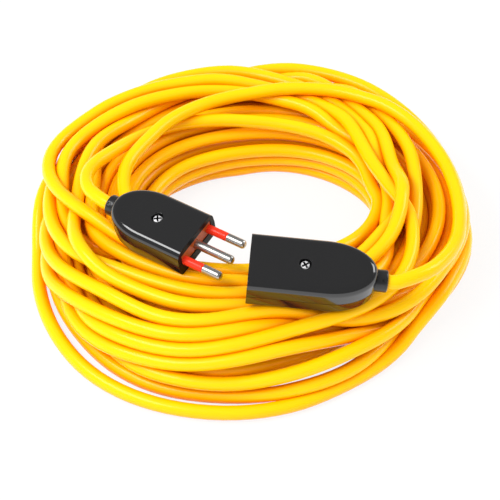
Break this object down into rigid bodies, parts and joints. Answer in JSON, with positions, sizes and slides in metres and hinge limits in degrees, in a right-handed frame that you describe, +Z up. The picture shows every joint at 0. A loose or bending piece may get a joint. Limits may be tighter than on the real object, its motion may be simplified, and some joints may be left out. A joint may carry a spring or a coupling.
{
  "type": "extension lead",
  "caption": "Coiled yellow extension lead with a black in-line plug with round pins and a black portable socket, its holes closed by a turning safety shutter.",
  "frame": {"origin": "centre of the whole part's bounding box seen from above, on the surface that it lies on", "axes": "+Z up, at right angles to the coil's plane; the two connectors lie on the coil's -Y side, the plug towards -X and the socket towards +X"},
  "size_m": [0.206, 0.2178, 0.0615],
  "materials": {
    "black_shell": "glossy black moulding",
    "red_brown_insert": "red-brown insulating moulding",
    "nickel": "bright nickel plate",
    "red_sleeve": "red insulating sleeve",
    "brass_screw": "bright brass",
    "contact_brass": "pressed brass",
    "zinc": "zinc plated steel",
    "screw_head": "bright steel",
    "cream_insert": "cream moulding",
    "black_insert": "black moulding",
    "black_collar": "semi-matt black collar",
    "spring_steel": "spring wire",
    "yellow_cable": "smooth yellow vinyl sheath",
    "brown_core": "brown core insulation",
    "blue_core": "blue core insulation",
    "earth_core": "green and yellow core insulation"
  },
  "bodies": {
    "lead": {"plug_upper_shell": "black_shell", "plug_lower_shell": "black_shell", "pin_carrier": "red_brown_insert", "live_pin": "nickel", "neutral_pin": "nickel", "earth_pin": "nickel", "pin_sleeves": "red_sleeve", "pin_terminal_screws": "brass_screw", "plug_cable_clamp": "cream_insert", "plug_clamp_screws": "zinc", "plug_closing_screw": "screw_head", "plug_closing_nut": "zinc", "plug_cable_sleeve": "black_collar", "plug_live_core": "brown_core", "plug_neutral_core": "blue_core", "plug_earth_core": "earth_core", "socket_upper_shell": "black_shell", "socket_lower_shell": "black_shell", "socket_face": "black_insert", "contact_block": "cream_insert", "live_contact": "contact_brass", "neutral_contact": "contact_brass", "earth_contact": "contact_brass", "contact_terminal_screws": "zinc", "shutter_spring": "spring_steel", "socket_cable_clamp": "cream_insert", "socket_clamp_screws": "zinc", "socket_closing_screw": "screw_head", "socket_closing_nut": "zinc", "socket_cable_sleeve": "black_collar", "socket_live_core": "brown_core", "socket_neutral_core": "blue_core", "socket_earth_core": "earth_core", "cable_coil": "yellow_cable", "plug_tail": "yellow_cable", "socket_tail": "yellow_cable", "loose_turn": "yellow_cable"},
    "shutter": {"safety_shutter": "cream_insert"}
  },
  "joints": [
    {"name": "shutter_pivot", "type": "hinge", "parent": "lead", "child": "shutter", "pos_m": [0.00398, -0.06528, 0.04966], "axis": [0.9952, -0.0626, -0.075], "range_deg": [0, 27], "stiffness_Nm_per_rad": 0.002, "springref_deg": -11.46}
  ]
}
